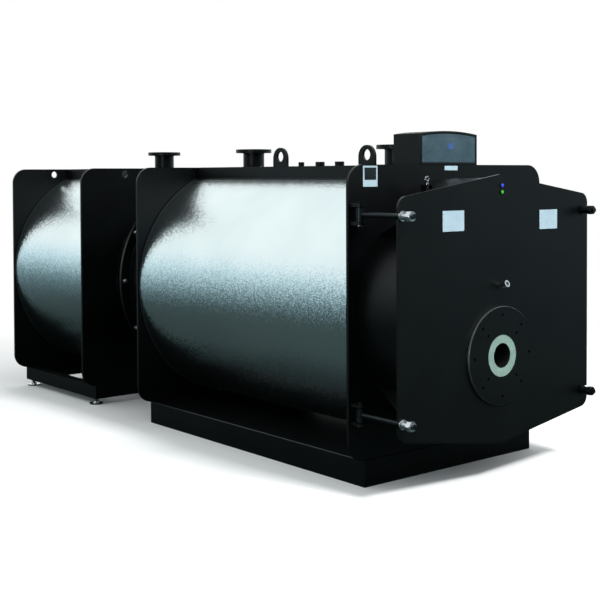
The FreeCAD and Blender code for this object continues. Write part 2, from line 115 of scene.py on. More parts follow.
black_enamel = surface("black_enamel_sprayed_steel", "030405", "060909", 420.0, 0.36, 22.0, 0.0006,
                       Specular_IOR_Level=0.27)
dress(black_enamel, "skid_rails", "skid_cross_members", "skid_deck", "condenser_base",
      "front_plate", "rear_plate", "condenser_front_plate", "condenser_rear_plate")
front_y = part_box("front_plate")[0][1]
rear_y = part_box("rear_plate")[1][1]
axis_z = (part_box("front_plate")[0][2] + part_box("front_plate")[1][2]) / 2
plate_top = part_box("front_plate")[1][2]


# ---- Embossed jackets ------------------------------------------------------------------------
# Stucco-embossed aluminium sheet rolled round the insulation. Mill-bright metal whose raised
# pebbles break a highlight into sparkle: drawn at about 7 mm by 12 mm, with 8 mm facets that
# lean a little, coarser than the real ones so that they show from a few metres away. Inside the
# furnace and the smoke tubes the same solid is bare boiler plate with soot on it.

jacket_radius = (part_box("boiler_jacket")[1][0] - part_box("boiler_jacket")[0][0]) / 2
PEBBLES_PER_METRE = 150.0
FACETS_PER_METRE = 125.0
SKIN_DEPTH = 0.008


def stucco_sheet():
    material, tree, output = new_material("stucco_embossed_aluminium")
    place = add(tree, "TexCoord").outputs["Object"]
    long_way = add(tree, "Mapping", {"Vector": place, "Scale": (1.0, 0.55, 1.0)})
    pebbles = add(tree, "TexVoronoi", {"Vector": long_way.outputs["Vector"],
                                       "Scale": PEBBLES_PER_METRE}, feature="SMOOTH_F1")
    grain = add(tree, "TexNoise", {"Vector": long_way.outputs["Vector"], "Scale": 190.0,
                                   "Detail": 3.0})
    height = add(tree, "Math", {0: pebbles.outputs["Distance"], 1: grain.outputs["Fac"]},
                 operation="ADD")
    facets = add(tree, "TexVoronoi", {"Vector": place, "Scale": FACETS_PER_METRE}, feature="F1")
    lean = add(tree, "VectorMath", {0: facets.outputs["Color"], 1: (0.5, 0.5, 0.5)},
               operation="SUBTRACT")
    slight = add(tree, "VectorMath", {0: lean.outputs["Vector"], 3: 0.13}, operation="SCALE")
    flat = add(tree, "NewGeometry").outputs["Normal"]
    leaning = add(tree, "VectorMath", {0: flat, 1: slight.outputs["Vector"]}, operation="ADD")
    facet_way = add(tree, "VectorMath", {0: leaning.outputs["Vector"]}, operation="NORMALIZE")
    bump = add(tree, "Bump", {"Height": height.outputs["Value"], "Strength": 0.40,
                              "Distance": 0.0012, "Normal": facet_way.outputs["Vector"]})
    clouds = add(tree, "TexNoise", {"Vector": place, "Scale": 1.6, "Detail": 3.0})
    tone = two_tones(tree, clouds.outputs["Fac"], 0.3, 0.75, "d2e0e2", "e0eaeb")
    gloss = add(tree, "MapRange", {"Value": grain.outputs["Fac"], "To Min": 0.15, "To Max": 0.27})
    sheet = add(tree, "BsdfPrincipled", {"Base Color": tone, "Metallic": 1.0,
                                         "Roughness": gloss.outputs["Result"],
                                         "Normal": bump.outputs["Normal"]})
    soot = add(tree, "TexNoise", {"Vector": place, "Scale": 14.0, "Detail": 6.0})
    sooty = two_tones(tree, soot.outputs["Fac"], 0.35, 0.7, "15110e", "3a322b")
    inside = add(tree, "BsdfPrincipled", {"Base Color": sooty, "Roughness": 0.85})
    from_axis = add(tree, "Mapping", {"Vector": place, "Location": (0.0, 0.0, -axis_z),
                                      "Scale": (1.0, 0.0, 1.0)})
    radius = add(tree, "VectorMath", {0: from_axis.outputs["Vector"]}, operation="LENGTH")
    skin = add(tree, "Math", {0: radius.outputs["Value"], 1: jacket_radius - SKIN_DEPTH},
               operation="GREATER_THAN")
    both = add(tree, "MixShader", {0: skin.outputs["Value"], 1: inside.outputs["BSDF"],
                                   2: sheet.outputs["BSDF"]})
    tree.links.new(both.outputs["Shader"], output.inputs["Surface"])
    return material


dress(stucco_sheet(), "boiler_jacket", "condenser_jacket")


# ---- Jacket edge beads and lap seam ----------------------------------------------------------
# Each jacket ends in a black rubber bead pressed against the end plate. The sheet closes in a
# lap low on the right side, held with blind aluminium rivets every 150 mm.

def turned(radius, length, foot, axis, sides=48):
    """A new cylinder from its foot along an axis, with its place in its mesh."""
    bpy.ops.object.select_all(action="DESELECT")
    turn = Vector((0, 0, 1)).rotation_difference(Vector(axis)).to_euler()
    bpy.ops.mesh.primitive_cylinder_add(vertices=sides, radius=radius, depth=length, rotation=turn,
                                        location=Vector(foot) + Vector(axis) * (length / 2))
    bpy.ops.object.transform_apply(location=True, rotation=True, scale=True)
    return bpy.context.object


def block(low, high):
    """A new box between two corners, with its place in its mesh."""
    low, high = Vector(low), Vector(high)
    bpy.ops.object.select_all(action="DESELECT")
    bpy.ops.mesh.primitive_cube_add(size=1.0, location=(low + high) / 2)
    bpy.context.object.scale = high - low
    bpy.ops.object.transform_apply(location=True, rotation=True, scale=True)
    return bpy.context.object


def pick(piece, kind, test):
    """In edit mode, selects only the faces, edges or vertices that pass a test."""
    bpy.ops.mesh.select_mode(type=kind)
    bpy.ops.mesh.select_all(action="DESELECT")
    form = bmesh.from_edit_mesh(piece.data)
    form.normal_update()
    for part in {"FACE": form.faces, "EDGE": form.edges, "VERT": form.verts}[kind]:
        if test(part):
            part.select_set(True)
    bmesh.update_edit_mesh(piece.data)


def faces_toward(axis):
    """A test for flat faces that look along an axis."""
    way = Vector(axis).normalized()
    return lambda face: face.normal.dot(way) > 0.99


def step_face(piece, axis, inset, rise):
    """Insets the flat face that looks along an axis and moves it that way, or back if below 0."""
    way = Vector(axis).normalized()
    bpy.ops.object.mode_set(mode="EDIT")
    pick(piece, "FACE", faces_toward(way))
    bpy.ops.mesh.inset(thickness=inset)
    bpy.ops.transform.translate(value=way * rise)
    bpy.ops.object.mode_set(mode="OBJECT")
    return piece


def soften(piece, width, steps=2):
    """Rounds the sharp edges, as a file or a press tool leaves them."""
    bpy.ops.object.select_all(action="DESELECT")
    piece.select_set(True)
    bpy.context.view_layer.objects.active = piece
    bevel = piece.modifiers.new("edge", "BEVEL")
    bevel.width = width
    bevel.segments = steps
    bevel.limit_method = "ANGLE"
    bevel.angle_limit = math.radians(35)
    bpy.ops.object.modifier_apply(modifier="edge")
    return piece


def ring(outer, inner, thickness, foot, axis, edge, sides=96):
    """A turned ring: a disc whose two faces are inset and joined through the middle."""
    piece = turned(outer, thickness, foot, axis, sides)
    way = Vector(axis).normalized()
    bpy.ops.object.mode_set(mode="EDIT")
    pick(piece, "FACE", lambda face: abs(face.normal.dot(way)) > 0.99)
    bpy.ops.mesh.inset(thickness=outer - inner)
    bpy.ops.mesh.bridge_edge_loops()
    bpy.ops.object.mode_set(mode="OBJECT")
    return soften(piece, edge)


def disc(radius, thickness, foot, axis, edge, sides=48):
    """A turned disc with rounded rims and a shallow turned step on its outer face."""
    piece = turned(radius, thickness, foot, axis, sides)
    return soften(step_face(piece, axis, radius * 0.2, -thickness * 0.12), edge)


def joined(pieces):
    """Joins pieces to one object, which keeps the first one's place."""
    bpy.ops.object.select_all(action="DESELECT")
    for piece in pieces:
        piece.select_set(True)
    bpy.context.view_layer.objects.active = pieces[0]
    if len(pieces) > 1:
        bpy.ops.object.join()
    return bpy.context.object


def repeated(piece, moves):
    """One object that holds a copy of the piece at each of the moves."""
    copies = []
    for move in moves:
        twin = piece.copy()
        twin.data = piece.data.copy()
        twin.data.transform(move)
        bpy.context.scene.collection.objects.link(twin)
        copies.append(twin)
    bpy.data.objects.remove(piece)
    return joined(copies)


def shifts(*places):
    return [Matrix.Translation(Vector(place)) for place in places]


def row_along(node, pitch, end):
    """Even moves along a node's length, near a pitch, between places this far from its ends."""
    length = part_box(node)[1][1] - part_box(node)[0][1]
    count = int(length / pitch)
    step = (length - 2 * end) / count
    return shifts(*[(0, i * step, 0) for i in range(count + 1)])


def round_axis(count, centre, axis, first=0.0):
    """The turns that carry a piece to evenly spaced places round an axis."""
    there = Matrix.Translation(Vector(centre))
    back = Matrix.Translation(-Vector(centre))
    return [there @ Matrix.Rotation(math.radians(first + i * 360 / count), 4, Vector(axis)) @ back
            for i in range(count)]


def keep(piece, name, material, body="root"):
    """Names a finished piece and gives it its material and its body."""
    bpy.ops.object.select_all(action="DESELECT")
    piece.select_set(True)
    bpy.context.view_layer.objects.active = piece
    bpy.ops.object.mode_set(mode="EDIT")
    bpy.ops.mesh.select_all(action="SELECT")
    bpy.ops.mesh.normals_make_consistent(inside=False)
    bpy.ops.object.mode_set(mode="OBJECT")
    bpy.ops.object.shade_smooth_by_angle(angle=math.radians(32))
    piece.name = name
    piece.data.name = name
    piece.data.materials.clear()
    piece.data.materials.append(material)
    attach(piece, body)
    return piece


black_rubber = surface("black_rubber_bead", "0b0c0d", "16181a", 200.0, 0.62, 3.0, 0.0003)
JACKETS = ("boiler_jacket", "condenser_jacket")
beads = []
for node in JACKETS:
    low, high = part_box(node)
    for bead_y, inward in ((low[1], 1), (high[1], -1)):
        beads.append(ring(jacket_radius + 0.006, jacket_radius - 0.004, 0.014,
                          (0, bead_y, axis_z), (0, inward, 0), 0.0045, 160))
keep(joined(beads), "jacket_edge_beads", black_rubber)

bright_aluminium = surface("mill_bright_aluminium", "a9b0b2", "c3c9ca", 160.0, 0.34, 2.0, 0.0001,
                           Metallic=1.0)
seam_angle = math.radians(304)
seam_x = jacket_radius * math.cos(seam_angle)
seam_z = axis_z + jacket_radius * math.sin(seam_angle)
outward = Vector((math.cos(seam_angle), 0, math.sin(seam_angle)))
LAP_HALF_WIDTH = 0.026
RIVET_PITCH = 0.15
RIVET_END = 0.04
seams = []
rivets = []
for node in JACKETS:
    low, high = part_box(node)
    strip = block((-0.0012, low[1] + 0.016, -LAP_HALF_WIDTH),
                  (0.0012, high[1] - 0.016, LAP_HALF_WIDTH))
    strip.data.transform(Matrix.Translation((seam_x, 0, seam_z))
                         @ Matrix.Rotation(-seam_angle, 4, "Y"))
    seams.append(soften(strip, 0.0006, 1))
    foot = Vector((seam_x, low[1] + RIVET_END, seam_z)) + outward * 0.001
    rivet = disc(0.0055, 0.0028, foot, outward, 0.0012, 12)
    rivets.append(repeated(rivet, row_along(node, RIVET_PITCH, RIVET_END)))
keep(joined(seams), "jacket_lap_seams", bright_aluminium)
keep(joined(rivets), "jacket_seam_rivets", bright_aluminium)


# ---- Top covers ------------------------------------------------------------------------------
# Folded 3 mm steel covers over the crown, in the black enamel. A rolled lip stiffens the lower
# edge of each side, and button-head screws hold the cover down.

dress(black_enamel, "boiler_top_cover", "condenser_top_cover")
cover_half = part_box("boiler_top_cover")[1][0]
lip_z = axis_z + math.sqrt(jacket_radius ** 2 - cover_half ** 2)


def socket_screw(radius, rise, foot, axis):
    """Button-head screw with its hexagon socket."""
    way = Vector(axis).normalized()
    piece = turned(radius, rise, foot, axis, 24)
    bpy.ops.object.mode_set(mode="EDIT")
    pick(piece, "FACE", faces_toward(way))
    bpy.ops.mesh.inset(thickness=radius * 0.35)
    bpy.ops.transform.translate(value=way * (rise * 0.3))
    bpy.ops.mesh.inset(thickness=radius * 0.25)
    bpy.ops.mesh.extrude_region_move(TRANSFORM_OT_translate={"value": way * (-rise * 0.6)})
    bpy.ops.object.mode_set(mode="OBJECT")
    return piece


zinc = surface("bright_zinc_plated_steel", "b4babc", "d0d5d6", 60.0, 0.20, 1.5, 0.0001,
               Metallic=1.0)
SCREW_PITCH = 0.38
SCREW_END = 0.08
lips = []
screws = []
for node in ("boiler_top_cover", "condenser_top_cover"):
    low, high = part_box(node)
    for side in (-1, 1):
        edge_x = side * cover_half
        lip = block((edge_x - 0.004, low[1], lip_z - 0.002),
                    (edge_x + 0.004, high[1], lip_z + 0.007))
        lips.append(soften(lip, 0.0035, 3))
        foot = (edge_x - side * 0.022, low[1] + SCREW_END, plate_top - 0.0036)
        screw = socket_screw(0.007, 0.004, foot, (0, 0, 1))
        screws.append(repeated(screw, row_along(node, SCREW_PITCH, SCREW_END)))
keep(joined(lips), "cover_rolled_lips", black_enamel)
keep(joined(screws), "cover_screws", zinc)


# ---- Skid deck edges -------------------------------------------------------------------------
# The long edges of the deck plate are rounded off. Their enamel is given a lighter tone, a
# painted highlight that draws the fine line of light the edges catch.

deck_low, deck_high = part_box("skid_deck")
# The lighter tone of this enamel is a painted highlight along the edges.
edge_highlight_enamel = surface("enamel_edge_painted_highlight", "1c2426", "2a3335", 90.0, 0.30, 4.0, 0.0002)
EDGE_INSET = 0.0025
EDGE_END = 0.01
edges = [ring(0.004, 0.0004, deck_high[1] - deck_low[1] - 2 * EDGE_END,
              (side * (deck_high[0] - EDGE_INSET), deck_low[1] + EDGE_END,
               deck_high[2] - EDGE_INSET), (0, 1, 0), 0.0003, 12) for side in (-1, 1)]
keep(joined(edges), "deck_rounded_edges", edge_highlight_enamel)


# ---- Pipe flanges, sockets and lifting lugs --------------------------------------------------
# Welding-neck flanges on short pipes, threaded sockets and 20 mm lifting lugs, all welded to the
# shell and painted with it. Each flange has a raised facing ring with turned grooves.

dress(black_enamel, "supply_flange", "return_flange", "condenser_flange", "top_sockets",
      "lifting_lugs")


def weld_ring(radius, bead, centre, axis):
    """A fillet weld laid round a joint: a bead whose surface is rippled by the hand passes."""
    bpy.ops.object.select_all(action="DESELECT")
    turn = Vector((0, 0, 1)).rotation_difference(Vector(axis)).to_euler()
    steps = max(48, int(2 * math.pi * radius / (bead * 1.1)))
    bpy.ops.mesh.primitive_torus_add(location=centre, rotation=turn, major_radius=radius,
                                     minor_radius=bead, major_segments=steps, minor_segments=8)
    bpy.ops.object.transform_apply(location=True, rotation=True, scale=True)
    return rippled(bpy.context.object, bead)


def rippled(piece, bead):
    ripple = bpy.data.textures.new("weld_ripple", "CLOUDS")
    ripple.noise_scale = bead * 1.6
    passes = piece.modifiers.new("passes", "DISPLACE")
    passes.texture = ripple
    passes.texture_coords = "LOCAL"
    passes.strength = bead * 0.7
    passes.mid_level = 0.5
    bpy.ops.object.modifier_apply(modifier="passes")
    return piece


def weld_line(start, end, bead):
    """A straight fillet weld."""
    start, end = Vector(start), Vector(end)
    way = (end - start).normalized()
    piece = turned(bead, (end - start).length, start, way, 8)
    bpy.ops.object.mode_set(mode="EDIT")
    pick(piece, "EDGE", lambda e: abs((e.verts[0].co - e.verts[1].co).normalized().dot(way)) > 0.99)
    bpy.ops.mesh.subdivide(number_cuts=max(4, int((end - start).length / (bead * 1.2))))
    bpy.ops.object.mode_set(mode="OBJECT")
    return rippled(piece, bead)


FACING_RINGS = ((0.100, 0.094), (0.091, 0.0845))
NECK_RADIUS = 0.0850
NECK_WELD_DROP = 0.028
facings = []
necks = []
collars = []
for node in ("supply_flange", "return_flange", "condenser_flange"):
    low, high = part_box(node)
    x, y = (low[0] + high[0]) / 2, (low[1] + high[1]) / 2
    for outer, inner in FACING_RINGS:
        facings.append(ring(outer, inner, 0.0016, (x, y, high[2] - 0.0002), (0, 0, 1), 0.0005))
    necks.append(weld_ring(NECK_RADIUS, 0.0042, (x, y, high[2] - NECK_WELD_DROP), (0, 0, 1)))
    collars.append(ring(0.096, 0.0846, 0.005, (x, y, plate_top - 0.0005), (0, 0, 1), 0.0016))
keep(joined(facings), "flange_facing_rings", black_enamel)
keep(joined(necks), "flange_neck_welds", black_enamel)
# A rubber collar closes the gap where each pipe comes through its cover.
keep(joined(collars), "pipe_cover_collars", black_rubber)


# ---- Control box -----------------------------------------------------------------------------
# Moulded ABS box, fine-grained charcoal, with a smoked polycarbonate window over the panel. The
# window's pale blue-grey tone is its smoke tint lifted by a painted reflection. A separate front
# bezel clips on round the window, and cables enter at the back.

box_plastic = surface("charcoal_moulded_abs", "090c0e", "0f1315", 150.0, 0.50, 1.6, 0.00025,
                      Specular_IOR_Level=0.25)
dress(box_plastic, "control_box")


def arched(low, high, crown):
    """A block whose top is one shallow arch across its width."""
    piece = block(low, high)
    bpy.ops.object.mode_set(mode="EDIT")
    pick(piece, "EDGE", lambda e: abs(e.verts[0].co.z - e.verts[1].co.z) < 1e-5
         and abs(e.verts[0].co.y - e.verts[1].co.y) < 1e-5)
    bpy.ops.mesh.subdivide(number_cuts=23)
    middle = (low[0] + high[0]) / 2
    half = (high[0] - low[0]) / 2
    for step in range(25):
        column = low[0] + step * half / 12
        rise = crown * (1 - ((column - middle) / half) ** 2)
        pick(piece, "VERT", lambda v: abs(v.co.x - column) < 1e-4 and v.co.z > high[2] - 1e-4)
        if rise > 0:
            bpy.ops.transform.translate(value=(0, 0, rise))
    bpy.ops.object.mode_set(mode="OBJECT")
    return piece


box_low, box_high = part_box("control_box")
glass_low, glass_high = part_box("control_window")
crown = 0.020
bezel = arched((box_low[0] - 0.0015, glass_low[1] - 0.003, box_low[2]),
               (box_high[0] + 0.0015, glass_low[1] + 0.008, box_high[2] - crown - 0.0004), crown)
bpy.ops.object.mode_set(mode="EDIT")
pick(bezel, "FACE", lambda face: abs(face.normal.y) > 0.99)
bpy.ops.mesh.inset(thickness=0.017)
bpy.ops.mesh.bridge_edge_loops()
bpy.ops.object.mode_set(mode="OBJECT")
keep(soften(bezel, 0.002, 3), "control_box_bezel", box_plastic)

smoked, smoked_tree, smoked_out = new_material("smoked_polycarbonate_window")
smoked_place = add(smoked_tree, "TexCoord").outputs["Object"]
smears = add(smoked_tree, "TexNoise", {"Vector": smoked_place, "Scale": 9.0, "Detail": 3.0})
smear_gloss = add(smoked_tree, "MapRange", {"Value": smears.outputs["Fac"], "To Min": 0.05,
                                            "To Max": 0.16})
# The pale blue-grey tone is the smoke tint with a painted reflection in it.
smoke_tint_and_painted_sheen = two_tones(smoked_tree, smears.outputs["Fac"], 0.3, 0.7, "5a7c8b", "7a9caa")
pane = add(smoked_tree, "BsdfPrincipled", {"Base Color": smoke_tint_and_painted_sheen, "IOR": 1.58,
                                           "Transmission Weight": 0.75, "Coat Weight": 1.0,
                                           "Coat Roughness": 0.18,
                                           "Roughness": smear_gloss.outputs["Result"]})
smoked_tree.links.new(pane.outputs["BSDF"], smoked_out.inputs["Surface"])
dress(smoked, "control_window")

# Behind the window: two round gauges, a small lit display, four keys and the rim of a
# round switch.
TO_FRONT = (0, -1, 0)
KEY_PITCH = 0.034
GAUGE_RISE = 0.118
panel_y = glass_high[1]
panel_x = (glass_low[0] + glass_high[0]) / 2
dial_white = surface("printed_dial_grey", "59686f", "6b7a82", 60.0, 0.5, 1.0, 0.00005)
panel_grey = surface("panel_sheet_grey", "3d5661", "4b6672", 120.0, 0.5, 1.0, 0.0001)
sheet = block((panel_x - 0.24, panel_y - 0.0012, box_low[2] + 0.022),
              (panel_x + 0.24, panel_y - 0.0002, box_low[2] + 0.178))
keep(soften(sheet, 0.0004, 1), "control_panel_sheet", panel_grey)
rims = []
faces = []
hands = []
for gauge_x in (panel_x - 0.185, panel_x - 0.105):
    gauge_z = box_low[2] + GAUGE_RISE
    foot = (gauge_x, panel_y - 0.001, gauge_z)
    rims.append(ring(0.034, 0.0295, 0.0040, foot, TO_FRONT, 0.001))
    faces.append(disc(0.030, 0.0018, foot, TO_FRONT, 0.0003))
    tip = (gauge_x + 0.014, panel_y - 0.0028, gauge_z + 0.012)
    hands.append(weld_line((gauge_x - 0.004, panel_y - 0.0028, gauge_z - 0.003), tip, 0.0009))
rims.append(ring(0.011, 0.008, 0.0045, (panel_x + 0.195, panel_y - 0.001, box_low[2] + 0.060),
                 TO_FRONT, 0.001))
keep(joined(rims), "gauge_rims", black_rubber)
keep(joined(faces), "gauge_faces", dial_white)
keep(joined(hands), "gauge_hands", black_rubber)
display = block((panel_x - 0.010, panel_y - 0.0042, box_low[2] + 0.104),
                (panel_x + 0.040, panel_y - 0.0012, box_low[2] + 0.142))
step_face(display, TO_FRONT, 0.006, -0.0012)
display_glass = surface("lit_blue_display_glass", "2c5fd0", "4f86f0", 40.0, 0.15, 1.0, 0.00002,
                        Emission_Color=srgb("2f62e0"), Emission_Strength=0.45)
keep(soften(display, 0.0008), "control_display", display_glass)
key = block((panel_x - 0.20, panel_y - 0.0040, box_low[2] + 0.045),
            (panel_x - 0.176, panel_y - 0.0012, box_low[2] + 0.067))
soften(step_face(key, TO_FRONT, 0.003, -0.0006), 0.0008)
keys = repeated(key, shifts(*[(i * KEY_PITCH, 0, 0) for i in range(4)]))
keep(keys, "panel_keys", dial_white)

glands = []
for gland_x in (-0.11, -0.02, 0.07):
    foot = Vector((gland_x, box_high[1], box_low[2] + 0.05))
    body = turned(0.015, 0.010, foot, (0, 1, 0), 6)
    glands.append(soften(body, 0.0012))
    glands.append(disc(0.011, 0.014, foot + Vector((0, 0.009, 0)), (0, 1, 0), 0.004, 24))
keep(joined(glands), "cable_glands", black_rubber)
corner = socket_screw(0.0055, 0.003, (box_low[0] + 0.012, box_high[1] - 0.0004, box_low[2] + 0.014),
                      (0, 1, 0))
corners = repeated(corner, shifts((0, 0, 0), (0.511, 0, 0), (0, 0, 0.165), (0.511, 0, 0.165)))
keep(corners, "control_box_screws", zinc)


# ---- Smoke box and its bolted ring -----------------------------------------------------------
# Welded drums between boiler and condenser. A ring flange with twelve studs, nuts and washers
# clamps the condenser's inlet, and a steel band goes round the inlet drum.

dress(black_enamel, "smoke_box_drum", "smoke_box_flange", "condenser_inlet_drum")
ring_low, ring_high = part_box("smoke_box_flange")
ring_radius = ring_high[0]


def hex_nut(across_corners, height, foot, axis, stud):
    """Hexagon nut on a washer, with chamfered corners and the rounded end of its stud."""
    way = Vector(axis).normalized()
    foot = Vector(foot)
    washer = ring(across_corners * 0.62, stud * 0.9, height * 0.16, foot, way, height * 0.03, 32)
    nut = turned(across_corners / 2, height, foot + way * height * 0.15, way, 6)
    soften(step_face(nut, way, across_corners * 0.05, height * 0.09), height * 0.03, 1)
    end = disc(stud, height * 0.45, foot + way * height * 1.1, way, stud * 0.16, 20)
    return joined([nut, washer, end])


TO_REAR = (0, 1, 0)
DRUM_BEAD = 0.006
nut = hex_nut(0.036, 0.018, (ring_radius - 0.035, ring_low[1] + 0.0002, axis_z), TO_FRONT, 0.010)
ring_nuts = repeated(nut, round_axis(12, (0, 0, axis_z), TO_REAR))
keep(ring_nuts, "smoke_ring_nuts", zinc)
drum_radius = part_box("smoke_box_drum")[1][0]
inlet_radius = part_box("condenser_inlet_drum")[1][0]
inlet_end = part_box("condenser_front_plate")[0][1]
welds = [weld_ring(radius + 0.001, DRUM_BEAD, (0, weld_y, axis_z), TO_REAR)
         for radius, weld_y in ((drum_radius, rear_y + 0.003), (drum_radius, ring_low[1] - 0.003),
                                (inlet_radius, ring_high[1] + 0.003),
                                (inlet_radius, inlet_end - 0.003))]
keep(joined(welds), "smoke_box_welds", black_enamel)
strap = ring(inlet_radius + 0.004, inlet_radius - 0.004, 0.032,
             (0, ring_high[1] + 0.20, axis_z), TO_REAR, 0.0015, 128)
keep(strap, "inlet_drum_band", black_enamel)


# ---- Condenser feet and flue outlet ----------------------------------------------------------
# Zinc-plated levelling studs with round pads and lock nuts under the base frame, and a brushed
# stainless spigot with a bolted collar for the flue.

foot_low, foot_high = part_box("levelling_feet")
dress(zinc, "levelling_feet")
PAD_RADIUS = 0.055
foot_x = foot_high[0] - PAD_RADIUS
foot_ys = (foot_low[1] + PAD_RADIUS, foot_high[1] - PAD_RADIUS)
NUT_RADIUS = 0.024
lock_nut = turned(NUT_RADIUS, 0.013, (0, 0, foot_high[2] - 0.0132), (0, 0, 1), 6)
soften(step_face(lock_nut, (0, 0, -1), 0.002, 0.0012), 0.0005, 1)
pad_nut = turned(NUT_RADIUS, 0.011, (0, 0, 0.0118), (0, 0, 1), 6)
soften(step_face(pad_nut, (0, 0, 1), 0.002, 0.0012), 0.0005, 1)
both_nuts = joined([lock_nut, pad_nut])
corners = shifts(*[(x, y, 0) for x in (-foot_x, foot_x) for y in foot_ys])
keep(repeated(both_nuts, corners), "levelling_nuts", zinc)

stainless = surface("brushed_stainless_steel", "8e9292", "a9adad", 90.0, 0.30, 1.2, 0.0001,
                    Metallic=1.0)
dress(stainless, "flue_outlet")
flue_low, flue_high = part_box("flue_outlet")
flue_z = (flue_low[2] + flue_high[2]) / 2
collar_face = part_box("condenser_rear_plate")[1][1] + 0.0098
COLLAR_BOLT_RADIUS = 0.188
collar_bolt = hex_nut(0.019, 0.008, (COLLAR_BOLT_RADIUS, collar_face, flue_z), TO_REAR, 0.005)
keep(repeated(collar_bolt, round_axis(8, (0, 0, flue_z), TO_REAR, 22.5)), "flue_collar_bolts",
     zinc)
bead = ring(0.1775, 0.1745, 0.010, (0, flue_high[1] - 0.014, flue_z), TO_REAR, 0.0015, 128)
keep(bead, "flue_spigot_bead", stainless)


# ---- Furnace mouth and smoke tubes -----------------------------------------------------------
# Seen with the door open. The furnace tube is welded into the front plate, and the smoke tubes
# are expanded and seal-welded, so each ends in a small lip with soot round it. In the further
# tubes a flat black disc at the mouth stands for the soot and the painted shade of the bore.

furnace_z = (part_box("refractory_ring")[0][2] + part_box("refractory_ring")[1][2]) / 2
sooty_steel = surface("sooty_boiler_steel", "1c1713", "4a4038", 70.0, 0.72, 4.0, 0.0004)
MOUTH_WELD_RADIUS = 0.393
mouth = weld_ring(MOUTH_WELD_RADIUS, 0.007, (0, front_y - 0.001, furnace_z), TO_REAR)
keep(mouth, "furnace_mouth_weld", sooty_steel)


def row_of_tubes(radius, count, first, last):
    """Places on an arc round the boiler's axis, between two angles in degrees."""
    step = (last - first) / (count - 1)
    angles = [math.radians(first + i * step) for i in range(count)]
    return [(radius * math.cos(a), 0, radius * math.sin(a)) for a in angles]


open_tubes = row_of_tubes(0.700, 12, -10, 190)
more_tubes = (row_of_tubes(0.600, 15, -4, 184) + row_of_tubes(0.500, 12, 4, 176)
              + row_of_tubes(0.400, 8, 24, 156))
tube_end = (0, front_y + 0.0002, axis_z)
tube_lip = ring(0.0355, 0.0315, 0.004, tube_end, TO_FRONT, 0.0014, 32)
keep(repeated(tube_lip, shifts(*(open_tubes + more_tubes))), "smoke_tube_lips", sooty_steel)
# Black for soot and for painted shade: it darkens the throat and the flat discs that close the
# mouths of the further tubes.
soot_and_bore_shade_black = surface("soot_and_painted_bore_shade", "050403", "0d0a08", 30.0, 0.95, 3.0, 0.0003)
tube_dark = disc(0.0318, 0.0012, tube_end, TO_FRONT, 0.0003, 24)
keep(repeated(tube_dark, shifts(*more_tubes)), "smoke_tube_mouths", soot_and_bore_shade_black)


# ---- Nameplate places on the front plate -----------------------------------------------------
# A screen-printed badge plate and a small film label, both left bare: a pale frame round an
# empty dark field with an empty strip below it, and a plain white strip under the control box.

pale_print = surface("pale_printed_aluminium", "9db3bd", "adc1ca", 60.0, 0.42, 1.5, 0.00003)
dark_print = surface("dark_printed_field", "0f1518", "151c20", 60.0, 0.36, 1.5, 0.00003)
badge = block((-0.790, front_y - 0.0030, 1.862), (-0.668, front_y, 1.992))
step_face(badge, TO_FRONT, 0.004, -0.0006)
keep(soften(badge, 0.0008), "badge_plate", pale_print)
field = block((-0.778, front_y - 0.0034, 1.905), (-0.680, front_y - 0.0020, 1.981))
step_face(field, TO_FRONT, 0.0035, 0.0004)
keep(soften(field, 0.0003, 1), "badge_field", dark_print)


def film(low_x, high_x, low_z, high_z, y, name, material, body):
    """Self-adhesive film with rounded corners, 0.5 mm thick."""
    sheet = block((low_x, y - 0.0006, low_z), (high_x, y - 0.0001, high_z))
    bpy.ops.object.mode_set(mode="EDIT")
    pick(sheet, "EDGE", lambda e: abs(e.verts[0].co.y - e.verts[1].co.y) > 1e-5)
    bpy.ops.mesh.bevel(offset=0.004, segments=4)
    bpy.ops.object.mode_set(mode="OBJECT")
    return keep(sheet, name, material, body)


white_film = surface("white_polyester_film", "a3bac6", "b2c7d2", 90.0, 0.35, 2.0, 0.00002)
film(-0.062, 0.062, 1.964, 1.993, front_y, "front_plate_film", white_film, "root")


# ---- Hinge lugs and pins ---------------------------------------------------------------------
# Flame-cut lugs welded to the front plate, painted with it. Each carries a pin with a washer
# and a split pin at its lower end.

HANDS = ("left", "right")
LEVELS = ("upper", "lower")
LUG_GAP = 0.005
LUG_THICKNESS = 0.018
PIN_INSET = 0.034
lug_welds = []
pin_washers = []
split_pins = []
for level in LEVELS:
    for hand in HANDS:
        lugs = "hinge_lugs_%s_%s" % (level, hand)
        dress(black_enamel, lugs)
        low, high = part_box(lugs)
        x = (low[0] + high[0]) / 2
        rod_low, rod_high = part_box("tie_rod_%s_%s" % (level, hand))
        z = (rod_low[2] + rod_high[2]) / 2
        inner = (rod_high[2] - rod_low[2]) / 2 + LUG_GAP
        outer = inner + LUG_THICKNESS
        for dz in (-outer, -inner, inner, outer):
            lug_welds.append(weld_line((low[0], front_y - 0.0015, z + dz),
                                       (high[0], front_y - 0.0015, z + dz), 0.0035))
        pin_y = low[1] + PIN_INSET
        foot = (x, pin_y, z - outer - 0.0002)
        pin_washers.append(ring(0.024, 0.0152, 0.0028, foot, (0, 0, -1), 0.0006, 40))
        pin_z = z - outer - 0.0055
        eye = weld_ring(0.0042, 0.0013, (x - 0.0175, pin_y, pin_z), (0, 1, 0))
        legs = [weld_line((x - 0.015, pin_y, pin_z + dz), (x + 0.021, pin_y, pin_z + 2.6 * dz),
                          0.0013) for dz in (-0.0013, 0.0013)]
        split_pins += [eye] + legs
keep(joined(lug_welds), "hinge_lug_welds", black_enamel)
keep(joined(pin_washers), "hinge_pin_washers", zinc)
keep(joined(split_pins), "hinge_split_pins", zinc)


# ---- Deep door -------------------------------------------------------------------------------
# Plate and rolled drum, welded and enamelled, filled with fibre insulation whose face carries
# a flat glass rope seal and stainless anchor washers inside the turning chamber.

